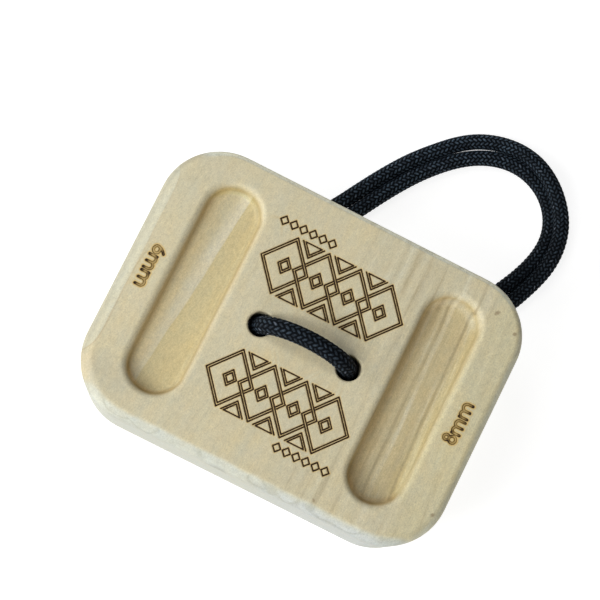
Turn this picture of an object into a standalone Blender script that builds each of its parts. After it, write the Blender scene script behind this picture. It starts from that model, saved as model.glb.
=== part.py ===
"""Portable hang block: a softened brick of pale wood with two shallow finger edges, on one tied length of cord.

Metres, +Z up. +X runs along the block's long side, +Y points at the carrying loop and +Z out of the front face.
The origin is the block's centre. The block lies flat on its own cord, as a bag of gear would be laid down.
The lists of route points are the design of the cord's route; every curve point is computed from them.
"""

import math

import bmesh
import bpy
import numpy as np

MM = 0.001

# --- driving dimensions, in millimetres -------------------------------------------------------------
LENGTH, WIDTH, THICK = 160.0, 119.0, 57.0  # along X, Y and Z
CORNER_R = 26.0  # corner radius of the outline
EDGE_R = 5.2  # roundover of the front and back edges

EDGE_X = 49.2  # each finger edge's centre line, from the block's centre
EDGE_Y = 0.4  # and its middle
EDGE_HALF_LENGTH = 45.2
EDGE_HALF_WIDTH = 11.5  # also its end radius
EDGE_DEPTHS = {-1: 6.0, 1: 8.0}  # left (-X) and right (+X)
RIM_R = 3.1  # roundover of a finger edge's rim
COVE_R = {-1: 2.4, 1: 4.0}  # fillet at the foot of its wall

HOLES = {-1: -19.3, 1: 20.3}
HOLE_R = 5.1
MOUTH_R = 1.0
RECESS_R = 12.0  # counterbore in the back, for the cord's bend and its knot
RECESS_DEPTH = 36.0
LIP_R = 2.0

CORD_D = 6.8
GAP = 0.3  # between pieces that touch
TIGHTEST = 15.2  # centre-line radius of the cord's bends under the block
STITCH_BEND = 14.4  # and over the front

KNOT_R = 9.4
WRAP_R = 2.95
WRAPS = 4
KNOT_LOW, KNOT_HIGH = -16.6, 6.2

PIVOT_Y = 66.0  # the loop folds about a line along X just outside the far long side

HALF_T = THICK / 2
CORD_R = CORD_D / 2
LEVEL = -HALF_T - GAP - CORD_R  # centre height of a strand that lies on the floor
PIVOT_Z = LEVEL + CORD_R

# --- route of the cord, in millimetres --------------------------------------------------------------
STITCH_TOP = 37.0
STITCH_BOW = 2.0
LEFT_WAY = (-0.36, 0.93)  # the way the cord leaves each hole, seen from the front
RIGHT_WAY = (0.72, 0.69)
LEFT_TRACK = [(-27.4, 25), (-26.9, 38), (-23.0, 52)]
RIGHT_TRACK = [(38.4, 19.5), (46.3, 30), (53.2, 42), (59.2, 54.5)]
BOW = [
    (-14.3, 52), (-18.0, 39), (-17.8, 26), (-13.6, 13), (-11.2, -1), (-8.6, -15), (-2.6, -28), (8, -37.5), (21.5, -41),
    (35, -38), (47, -29), (55, -16), (59, -1), (60, 14), (61, 29), (63.6, 42.5), (68.2, 55),
]
# middle of the loop's pair: x, y, sideways spacing of the two strands, height of the outer strand over the inner one
LOOP = [
    (-10.6, 67, 7.35, 0.0), (-4, 78.5, 7.2, 0.7), (2.5, 89.2, 6.8, 2.2), (10.2, 100, 6.6, 2.8), (18.6, 109.3, 6.6, 2.9),
    (27.2, 116.6, 6.6, 2.9), (35.5, 120.9, 6.4, 3.3), (43.5, 122.9, 5.8, 4.2), (52, 122.5, 5.0, 5.1), (60.2, 119.6, 4.3, 5.8),
    (67.4, 114.6, 3.8, 6.1), (73, 108, 3.8, 6.1), (76.5, 100, 4.4, 5.7), (77.4, 91, 5.3, 4.9), (76, 82.5, 6.3, 3.4),
    (73.4, 75, 7.1, 1.2), (69.8, 67, 7.4, 0.0),
]


# --- shapes ------------------------------------------------------------------------------------------
def material(name, colour, roughness):
    made = bpy.data.materials.new(name)
    made.use_nodes = True
    shader = made.node_tree.nodes["Principled BSDF"]
    shader.inputs["Base Color"].default_value = (*colour, 1)
    shader.inputs["Roughness"].default_value = roughness
    return made


def mesh_object(name, points, faces, slot):
    """Points in millimetres. The faces are turned to face out."""
    mesh = bpy.data.meshes.new(name)
    mesh.from_pydata([tuple(c * MM for c in p) for p in points], [], faces)
    shell = bmesh.new()
    shell.from_mesh(mesh)
    bmesh.ops.recalc_face_normals(shell, faces=shell.faces)
    shell.to_mesh(mesh)
    shell.free()
    mesh.materials.append(slot)
    made = bpy.data.objects.new(name, mesh)
    bpy.context.scene.collection.objects.link(made)
    return made


def skin(rings):
    """Points and faces of a closed skin over rings that all have the same number of points."""
    count = len(rings[0])
    points = [p for ring in rings for p in ring]
    faces = []
    for k in range(len(rings) - 1):
        for i in range(count):
            j = (i + 1) % count
            faces.append((k * count + i, k * count + j, (k + 1) * count + j, (k + 1) * count + i))
    faces.append(tuple(range(count))[::-1])
    last = (len(rings) - 1) * count
    faces.append(tuple(range(last, last + count)))
    return points, faces


def arc(cu, cv, radius, start, end, steps):
    """Points (u, v) of an arc in degrees, both ends included."""
    turn = np.radians(np.linspace(start, end, steps + 1))
    return [(cu + radius * math.cos(a), cv + radius * math.sin(a)) for a in turn]


def rounded_outline(half_x, half_y, radius, steps, cx=0.0, cy=0.0):
    """A rectangle with round corners, counter-clockwise."""
    out = []
    for sx, sy, start in ((1, 1, 0), (-1, 1, 90), (-1, -1, 180), (1, -1, 270)):
        out += arc(cx + sx * (half_x - radius), cy + sy * (half_y - radius), radius, start, start + 90, steps)
    return out


def slot_outline(half_width, half_length, steps, cx, cy):
    """A round-ended slot along Y, counter-clockwise."""
    reach = half_length - half_width
    return arc(cx, cy + reach, half_width, 0, 180, steps) + arc(cx, cy - reach, half_width, 180, 360, steps)


def run_out(profile, height):
    """The profile with its last edge carried straight on to this height, so that a cut meets the face at a slant."""
    (u0, z0), (u1, z1) = profile[-2:]
    return profile[:-1] + [(u1 + (u1 - u0) * (height - z1) / (z1 - z0), height)]


def block_body(slot):
    profile = arc(EDGE_R, -HALF_T + EDGE_R, EDGE_R, 270, 180, 7) + arc(EDGE_R, HALF_T - EDGE_R, EDGE_R, 180, 90, 7)
    rings = []
    for inset, z in profile:
        outline = rounded_outline(LENGTH / 2 - inset, WIDTH / 2 - inset, CORNER_R - inset, 11)
        rings.append([(x, y, z) for x, y in outline])
    return mesh_object("wood_block", *skin(rings), slot)


def edge_cutter(side, slot):
    """The finger edge's hollow, from its floor up: cove, wall, rim."""
    floor = HALF_T - EDGE_DEPTHS[side]
    cove = COVE_R[side]
    profile = arc(-cove, floor + cove, cove, 270, 360, 4)
    rim = arc(RIM_R, HALF_T - RIM_R, RIM_R, 180, 90, 5)
    if rim[0][1] - profile[-1][1] < 0.05:
        rim = rim[1:]
    profile = run_out(profile + rim, HALF_T + 0.4)
    rings = []
    for out, z in profile:
        outline = slot_outline(EDGE_HALF_WIDTH + out, EDGE_HALF_LENGTH + out, 18, side * EDGE_X, EDGE_Y)
        rings.append([(x, y, z) for x, y in outline])
    return mesh_object("edge_cutter", *skin(rings), slot)


def hole_cutter(side, slot):
    """Counterbore and through hole in one, turned about the hole's axis."""
    top = -HALF_T + RECESS_DEPTH
    lip = run_out(arc(RECESS_R + LIP_R, -HALF_T + LIP_R, LIP_R, 180, 270, 4), -HALF_T - 0.4)
    step = [(RECESS_R, top), (HOLE_R + MOUTH_R, top)]
    inner = arc(HOLE_R + MOUTH_R, top + MOUTH_R, MOUTH_R, 270, 180, 3)[1:]
    mouth = run_out(arc(HOLE_R + MOUTH_R, HALF_T - MOUTH_R, MOUTH_R, 180, 90, 3), HALF_T + 0.4)
    rings = []
    for radius, z in lip[::-1] + step + inner + mouth:
        turn = np.radians(np.arange(28) * 360 / 28)
        rings.append([(HOLES[side] + radius * math.cos(a), radius * math.sin(a), z) for a in turn])
    return mesh_object("hole_cutter", *skin(rings), slot)


def knot_body(slot):
    """The knot as one solid, with its wraps as a helical ridge."""
    around, along = 24, 44
    pitch = (KNOT_HIGH - KNOT_LOW) / WRAPS
    rings = []
    for j in range(along + 1):
        z = KNOT_LOW + (KNOT_HIGH - KNOT_LOW) * j / along
        ring = []
        for i in range(around):
            a = 2 * math.pi * i / around
            phase = (z - KNOT_LOW) / pitch - (a / math.pi - 1) * 0.25
            across = (phase % 1 - 0.5) * pitch
            radius = KNOT_R - WRAP_R + math.sqrt(max(0.0, WRAP_R**2 - across**2))
            end = min(z - KNOT_LOW, KNOT_HIGH - z)
            if end < WRAP_R:
                radius = min(radius, KNOT_R - WRAP_R + math.sqrt(WRAP_R**2 - (WRAP_R - end) ** 2))
            ring.append((HOLES[1] + radius * math.cos(a), radius * math.sin(a), z))
        rings.append(ring)
    return mesh_object("cord_knot", *skin(rings), slot)


# --- the cord's route --------------------------------------------------------------------------------
def smooth_curve(points, step):
    """Natural cubic spline through the points over chord length, read about every step."""
    p = np.asarray(points, float)
    t = np.concatenate([[0], np.cumsum(np.linalg.norm(np.diff(p, axis=0), axis=1))])
    h = np.diff(t)
    n = len(p)
    a = np.zeros((n, n))
    b = np.zeros(p.shape)
    a[0, 0] = a[-1, -1] = 1
    for i in range(1, n - 1):
        a[i, i - 1 : i + 2] = h[i - 1], 2 * (h[i - 1] + h[i]), h[i]
        b[i] = 6 * ((p[i + 1] - p[i]) / h[i] - (p[i] - p[i - 1]) / h[i - 1])
    m = np.linalg.solve(a, b)
    u = np.linspace(0, t[-1], max(2, int(round(t[-1] / step)) + 1))
    k = np.clip(np.searchsorted(t, u) - 1, 0, n - 2)
    d0, d1, hk = (t[k + 1] - u)[:, None], (u - t[k])[:, None], h[k][:, None]
    bend = (m[k] * d0**3 + m[k + 1] * d1**3) / (6 * hk)
    return bend + (p[k] / hk - m[k] * hk / 6) * d0 + (p[k + 1] / hk - m[k + 1] * hk / 6) * d1


def under_block(track):
    return [(x, y, LEVEL) for x, y in track]


def bend_out(x, way):
    """The quarter bend from a hole's axis to the floor, from the top down."""
    wx, wy = np.array(way) / np.linalg.norm(way)
    out = []
    for deg in (0, 30, 60, 90):
        off = TIGHTEST * (1 - math.cos(math.radians(deg)))
        out.append((x + wx * off, wy * off, LEVEL + TIGHTEST * (1 - math.sin(math.radians(deg)))))
    return out


def stitch_route():
    left, right = HOLES[-1], HOLES[1]
    middle, span = (left + right) / 2, (right - left) / 2
    half = arc(span - STITCH_BEND, STITCH_TOP - STITCH_BEND, STITCH_BEND, 0, 90, 3)
    over = half + [(-x, z) for x, z in half[::-1]]
    arch = [(middle + x, STITCH_BOW * (1 - (x / span) ** 2), z) for x, z in over]
    return [(right, 0, 6.5), (right, 0, 13.0)] + arch + [(left, 0, 13.0), (left, 0, 4), (left, 0, -7)]


def loop_strands():
    """Centre lines of the loop's outer and inner strands, from left to right."""
    middle = smooth_curve(LOOP, 1.0)
    along = np.gradient(middle[:, :2], axis=0)
    along /= np.linalg.norm(along, axis=1)[:, None]
    outward = np.column_stack([-along[:, 1], along[:, 0]])
    half = middle[:, 2:3] / 2
    outer = np.column_stack([middle[:, :2] + outward * half, LEVEL + np.maximum(middle[:, 3], 0)])
    inner = np.column_stack([middle[:, :2] - outward * half, np.full(len(middle), LEVEL)])
    return outer, inner


def whole_route():
    """From the top of the knot, once round, to the bottom of the knot."""
    outer, inner = loop_strands()
    route = stitch_route() + bend_out(HOLES[-1], LEFT_WAY) + under_block(LEFT_TRACK)
    route += [tuple(p) for p in outer[3:-3:9]] + under_block(BOW[::-1])
    route += [tuple(p) for p in inner[3:-3:9]]
    route += (bend_out(HOLES[1], RIGHT_WAY) + under_block(RIGHT_TRACK))[::-1]
    route.append((HOLES[1], 0, KNOT_LOW - GAP))
    path = smooth_curve(route, 0.5)
    path[:, 2] = np.maximum(path[:, 2], LEVEL)
    return path


def thinned(path):
    """Few points: a new one after each 20 degrees of turn, and after 2.4 diameters at the most."""
    along = np.diff(path, axis=0)
    length = np.linalg.norm(along, axis=1)
    along /= length[:, None]
    kept, turned, gone = [0], 0.0, 0.0
    for i in range(1, len(path) - 1):
        turned += math.degrees(math.acos(min(1.0, float(along[i - 1] @ along[i]))))
        gone += length[i - 1]
        if turned > 20 or gone > 2.4 * CORD_D:
            kept.append(i)
            turned = gone = 0.0
    # a short straight stretch at each end, so that the faces of two neighbours are parallel
    last = len(path) - 1
    kept = [i for i in kept if 10 <= i <= last - 10]
    return path[[0, 4] + kept + [last - 4, last]]


def tube(name, path, slot):
    points = thinned(path)
    curve = bpy.data.curves.new(name, "CURVE")
    curve.dimensions = "3D"
    curve.bevel_depth = CORD_R * MM
    curve.bevel_resolution = 3
    curve.use_fill_caps = True
    spline = curve.splines.new("POLY")
    spline.points.add(len(points) - 1)
    for point, at in zip(spline.points, points):
        point.co = (*(at * MM), 1)
    spline.use_smooth = True
    curve.materials.append(slot)
    made = bpy.data.objects.new(name, curve)
    bpy.context.scene.collection.objects.link(made)
    return made


def between(path, first, last):
    """The stretch of the path between two crossings, shortened by half the gap at each end that meets a neighbour."""
    length = np.concatenate([[0], np.cumsum(np.linalg.norm(np.diff(path, axis=0), axis=1))])
    inside = (length > first) & (length < last)
    ends = [[np.interp(s, length, path[:, i]) for i in range(3)] for s in (first, last)]
    return np.vstack([ends[0], path[inside], ends[1]])


# --- build --------------------------------------------------------------------------------------------
for thing in list(bpy.data.objects):
    bpy.data.objects.remove(thing, do_unlink=True)

wood = material("wood", (0.58, 0.52, 0.36), 0.62)
cord = material("cord", (0.012, 0.013, 0.018), 0.75)

block = block_body(wood)
for hollow, side in ((edge_cutter, -1), (edge_cutter, 1), (hole_cutter, -1), (hole_cutter, 1)):
    cutter = hollow(side, wood)
    cutter.hide_render = True
    cutter.display_type = "WIRE"
    cut = block.modifiers.new(cutter.name, "BOOLEAN")
    cut.operation = "DIFFERENCE"
    cut.solver = "EXACT"
    cut.object = cutter

path = whole_route()
length = np.concatenate([[0], np.cumsum(np.linalg.norm(np.diff(path, axis=0), axis=1))])
crossing = [length[i] + (length[i + 1] - length[i]) * (PIVOT_Y - path[i, 1]) / (path[i + 1, 1] - path[i, 1])
            for i in range(len(path) - 1) if (path[i, 1] - PIVOT_Y) * (path[i + 1, 1] - PIVOT_Y) < 0]
in_hole = next(length[i] for i in range(len(path)) if path[i, 0] < HOLES[-1] + 2 and path[i, 2] < 3.8)
names = ("cord_stitch", "cord_left_leg", "loop_strand_outer", "cord_cross", "loop_strand_inner", "cord_right_leg")
cuts = [0.0, in_hole] + crossing + [length[-1]]
for name, first, last in zip(names, cuts[:-1], cuts[1:]):
    start = first + (GAP / 2 if first > 0 else 0)
    end = last - (GAP / 2 if last < length[-1] else 0)
    piece = tube(name, between(path, start, end), cord)
    if name.startswith("loop"):
        pivot = (0, PIVOT_Y * MM, PIVOT_Z * MM)
        for point in piece.data.splines[0].points:
            point.co = (point.co[0], point.co[1] - pivot[1], point.co[2] - pivot[2], 1)
        piece.location = pivot
knot_body(cord)
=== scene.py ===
import math

import bmesh
import bpy
import numpy as np
from mathutils import Matrix, Vector
from mathutils.geometry import delaunay_2d_cdt


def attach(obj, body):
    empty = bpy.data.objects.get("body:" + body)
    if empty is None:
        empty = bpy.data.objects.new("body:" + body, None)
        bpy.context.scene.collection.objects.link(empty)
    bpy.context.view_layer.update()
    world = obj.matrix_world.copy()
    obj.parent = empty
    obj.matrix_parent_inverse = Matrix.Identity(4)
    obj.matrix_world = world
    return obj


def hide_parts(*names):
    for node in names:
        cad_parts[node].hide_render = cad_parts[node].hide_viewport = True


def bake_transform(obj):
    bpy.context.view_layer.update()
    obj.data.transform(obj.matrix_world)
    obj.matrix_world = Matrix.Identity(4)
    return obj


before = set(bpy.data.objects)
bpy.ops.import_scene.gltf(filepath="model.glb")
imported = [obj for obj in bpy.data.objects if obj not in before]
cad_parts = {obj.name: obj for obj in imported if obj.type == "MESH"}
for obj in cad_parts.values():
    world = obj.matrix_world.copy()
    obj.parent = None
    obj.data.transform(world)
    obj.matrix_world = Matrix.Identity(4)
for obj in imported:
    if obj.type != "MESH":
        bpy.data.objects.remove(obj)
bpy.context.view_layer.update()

MM = 0.001

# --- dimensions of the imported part, in millimetres ---------------------------------------------------
LENGTH, WIDTH, THICK = 160.0, 119.0, 57.0
CORNER_R, EDGE_R = 26.0, 5.2
EDGE_X, EDGE_Y, EDGE_HALF_LENGTH, EDGE_HALF_WIDTH = 49.2, 0.4, 45.2, 11.5
EDGE_DEPTHS = {-1: 6.0, 1: 8.0}
RIM_R, COVE_R = 3.1, {-1: 2.4, 1: 4.0}
HOLES, HOLE_R, MOUTH_R = {-1: -19.3, 1: 20.3}, 5.1, 1.0
RECESS_R, RECESS_DEPTH, LIP_R = 12.0, 36.0, 2.0
CORD_D, GAP = 6.8, 0.3
HALF_T = THICK / 2
LEVEL = -HALF_T - GAP - CORD_D / 2
FLOOR_Z = LEVEL - CORD_D / 2
KNOT_LOW, KNOT_HIGH = -16.6, 6.2
KNOT_R = 9.4


# --- small helpers -----------------------------------------------------------------------------------
def link(obj):
    bpy.context.scene.collection.objects.link(obj)
    return obj


def mesh_of(name, points, faces, materials, smooth=True):
    """points in millimetres, faces an (n, 4) or (n, 3) array or a list of tuples."""
    mesh = bpy.data.meshes.new(name)
    points = np.asarray(points, float) * MM
    mesh.from_pydata(points, [], [tuple(int(i) for i in f) for f in faces])
    for m in materials:
        mesh.materials.append(m)
    mesh.polygons.foreach_set("use_smooth", np.full(len(mesh.polygons), smooth))
    mesh.update()
    return link(bpy.data.objects.new(name, mesh))


def arc(cu, cv, radius, start, end, steps):
    turn = np.radians(np.linspace(start, end, steps + 1))
    return [(cu + radius * math.cos(a), cv + radius * math.sin(a)) for a in turn]


def smooth_curve(points, step):
    """Natural cubic spline through the points over chord length, read about every step."""
    p = np.asarray(points, float)
    t = np.concatenate([[0], np.cumsum(np.linalg.norm(np.diff(p[:, :3], axis=0), axis=1))])
    h = np.diff(t)
    n = len(p)
    a = np.zeros((n, n))
    b = np.zeros(p.shape)
    a[0, 0] = a[-1, -1] = 1
    for i in range(1, n - 1):
        a[i, i - 1 : i + 2] = h[i - 1], 2 * (h[i - 1] + h[i]), h[i]
        b[i] = 6 * ((p[i + 1] - p[i]) / h[i] - (p[i] - p[i - 1]) / h[i - 1])
    m = np.linalg.solve(a, b)
    u = np.linspace(0, t[-1], max(2, int(round(t[-1] / step)) + 1))
    k = np.clip(np.searchsorted(t, u) - 1, 0, n - 2)
    d0, d1, hk = (t[k + 1] - u)[:, None], (u - t[k])[:, None], h[k][:, None]
    bend = (m[k] * d0**3 + m[k + 1] * d1**3) / (6 * hk)
    return bend + (p[k] / hk - m[k] * hk / 6) * d0 + (p[k + 1] / hk - m[k + 1] * hk / 6) * d1


class Nodes:
    """Shorthand for building a material's node tree."""

    def __init__(self, name):
        self.material = bpy.data.materials.new(name)
        self.material.use_nodes = True
        self.tree = self.material.node_tree
        self.shader = self.tree.nodes["Principled BSDF"]
        self.coords = None

    def add(self, kind, **settings):
        made = self.tree.nodes.new(kind)
        for key, value in settings.items():
            setattr(made, key, value)
        return made

    def put(self, socket, value):
        if isinstance(value, bpy.types.NodeSocket):
            self.tree.links.new(value, socket)
        elif isinstance(value, (tuple, list)) and socket.type == "RGBA" and len(value) == 3:
            socket.default_value = (*value, 1)
        else:
            socket.default_value = value

    def math(self, operation, a, b=0.0, c=None, clamp=False):
        made = self.add("ShaderNodeMath", operation=operation, use_clamp=clamp)
        self.put(made.inputs[0], a)
        self.put(made.inputs[1], b)
        if c is not None:
            self.put(made.inputs[2], c)
        return made.outputs[0]

    def ramp(self, value, low, high, to_low=0.0, to_high=1.0, smooth=True):
        made = self.add("ShaderNodeMapRange", interpolation_type="SMOOTHSTEP" if smooth else "LINEAR")
        for socket, v in zip(made.inputs[:5], (value, low, high, to_low, to_high)):
            self.put(socket, v)
        return made.outputs[0]

    def mix(self, factor, a, b, blend="MIX"):
        made = self.add("ShaderNodeMix", data_type="RGBA", blend_type=blend, clamp_factor=True)
        self.put(made.inputs[0], factor)
        self.put(made.inputs[6], a)
        self.put(made.inputs[7], b)
        return made.outputs[2]

    def place(self):
        """The point in the row frame, in metres."""
        if self.coords is None:
            self.coords = self.add("ShaderNodeTexCoord").outputs["Object"]
        return self.coords

    def scaled(self, vector, scale, offset=(0, 0, 0)):
        made = self.add("ShaderNodeMapping", vector_type="POINT")
        self.put(made.inputs["Vector"], vector)
        made.inputs["Scale"].default_value = scale
        made.inputs["Location"].default_value = offset
        return made.outputs[0]

    def noise(self, vector, scale, detail=2.0, rough=0.5, distortion=0.0):
        made = self.add("ShaderNodeTexNoise")
        self.put(made.inputs["Vector"], vector)
        made.inputs["Scale"].default_value = scale
        made.inputs["Detail"].default_value = detail
        made.inputs["Roughness"].default_value = rough
        made.inputs["Distortion"].default_value = distortion
        return made.outputs["Fac"]

    def attribute(self, name, out="Fac"):
        return self.add("ShaderNodeAttribute", attribute_type="GEOMETRY", attribute_name=name).outputs[out]

    def bump(self, height, strength, distance, normal=None):
        made = self.add("ShaderNodeBump")
        made.inputs["Strength"].default_value = strength
        made.inputs["Distance"].default_value = distance
        self.put(made.inputs["Height"], height)
        if normal is not None:
            self.put(made.inputs["Normal"], normal)
        return made.outputs[0]


# --- camera --------------------------------------------------------------------------------------------
def make_camera():
    right = (0.89397062, 0.44355750, 0.06382224)
    up = (-0.44812487, 0.88510998, 0.12555645)
    back = (-0.00079820, -0.14084411, 0.99003146)
    data = bpy.data.cameras.new("camera")
    data.sensor_width = 36.0
    data.lens = 130.35
    data.clip_start, data.clip_end = 0.02, 20
    camera = link(bpy.data.objects.new("camera", data))
    turn = Matrix((right, up, back)).transposed().to_4x4()
    camera.matrix_world = Matrix.Translation(Vector((-0.010237, -0.107241, 0.893797))) @ turn
    bpy.context.scene.camera = camera


# --- the cord's route, as part.py has it ---------------------------------------------------------------
TIGHTEST, STITCH_BEND = 15.2, 14.4
STITCH_TOP, STITCH_BOW = 36.6, 2.0
LEFT_WAY, RIGHT_WAY = (-0.36, 0.93), (0.72, 0.69)
LEFT_TRACK = [(-27.4, 25), (-26.9, 38), (-23.0, 52)]
RIGHT_TRACK = [(38.4, 19.5), (46.3, 30), (53.2, 42), (59.2, 54.5)]
BOW = [
    (-14.3, 52), (-18.0, 39), (-17.8, 26), (-13.6, 13), (-11.2, -1), (-8.6, -15), (-2.6, -28), (8, -37.5), (21.5, -41),
    (35, -38), (47, -29), (55, -16), (59, -1), (60, 14), (61, 29), (63.6, 42.5), (68.2, 55),
]
# middle of the loop's pair: x, y, sideways spacing of the two strands, height of the outer strand over the inner one
LOOP = [
    (-10.6, 67, 6.85, 0.0), (-4, 78.5, 6.7, 0.4), (2.5, 89.2, 6.6, 0.9), (10.2, 100, 6.5, 1.2), (18.6, 109.3, 6.5, 1.2),
    (27.2, 116.6, 6.90, 1.2), (35.5, 120.8, 6.80, 1.3), (43.5, 122.7, 6.35, 2.0), (52, 122.4, 5.6, 3.4), (60.2, 119.6, 4.5, 4.8),
    (67.4, 114.6, 3.7, 5.3), (73, 108, 3.7, 5.3), (76.5, 100, 4.3, 5.0), (77.4, 91, 5.2, 4.0), (76, 82.5, 6.1, 2.4),
    (73.4, 75, 6.35, 0.9), (69.8, 67, 6.45, 0.0),
]


def bend_out(x, way):
    wx, wy = np.array(way) / np.linalg.norm(way)
    out = []
    for deg in (0, 30, 60, 90):
        off = TIGHTEST * (1 - math.cos(math.radians(deg)))
        out.append((x + wx * off, wy * off, LEVEL + TIGHTEST * (1 - math.sin(math.radians(deg)))))
    return out


def under_block(track):
    return [(x, y, LEVEL) for x, y in track]


def cord_path():
    """From inside the knot's top, once round, to inside its bottom, in millimetres."""
    middle = smooth_curve(LOOP, 1.0)
    along = np.gradient(middle[:, :2], axis=0)
    along /= np.linalg.norm(along, axis=1)[:, None]
    outward = np.column_stack([-along[:, 1], along[:, 0]])
    half = middle[:, 2:3] / 2
    outer = np.column_stack([middle[:, :2] + outward * half, LEVEL + np.maximum(middle[:, 3], 0)])
    inner = np.column_stack([middle[:, :2] - outward * half, np.full(len(middle), LEVEL)])
    left, right = HOLES[-1], HOLES[1]
    mid, span = (left + right) / 2, (right - left) / 2
    side = arc(span - STITCH_BEND, STITCH_TOP - STITCH_BEND, STITCH_BEND, 0, 90, 3)
    over = side + [(-x, z) for x, z in side[::-1]]
    arch = [(mid + x, STITCH_BOW * (1 - (x / span) ** 2), z) for x, z in over]
    route = [(right, 0, 3.5), (right, 0, 12.0)] + arch + [(left, 0, 13.0), (left, 0, 4), (left, 0, -7)]
    route += bend_out(left, LEFT_WAY) + under_block(LEFT_TRACK)
    route += [tuple(p) for p in outer[3:-3:9]] + under_block(BOW[::-1]) + [tuple(p) for p in inner[3:-3:9]]
    route += (bend_out(right, RIGHT_WAY) + under_block(RIGHT_TRACK))[::-1]
    route.append((right, 0, KNOT_LOW + 2.5))
    path = smooth_curve(route, 0.5)
    path[:, 2] = np.maximum(path[:, 2], LEVEL)
    return path


# --- braid ---------------------------------------------------------------------------------------------
CARRIERS = 12  # each way round, so a 24-carrier sheath
PITCH = 2.5  # along the cord from one carrier to the next
FINE = 4  # mesh steps across one carrier


def hashed(i, j, k):
    """A repeatable number from 0 to 1 for whole numbers i and j."""
    x = np.sin(i * 127.1 + j * 311.7 + k * 74.7) * 43758.5453
    return x - np.floor(x)


def frames_along(path):
    """Unit tangents and a pair of normals that don't twist about the path."""
    tangent = np.gradient(path, axis=0)
    tangent /= np.linalg.norm(tangent, axis=1)[:, None]
    first = np.cross(tangent[0], (0.3, 0.9, 0.1))
    normal = np.empty_like(path)
    normal[0] = first / np.linalg.norm(first)
    for i in range(1, len(path)):
        n = normal[i - 1] - tangent[i] * (normal[i - 1] @ tangent[i])
        normal[i] = n / np.linalg.norm(n)
    return tangent, normal, np.cross(tangent, normal)


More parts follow.
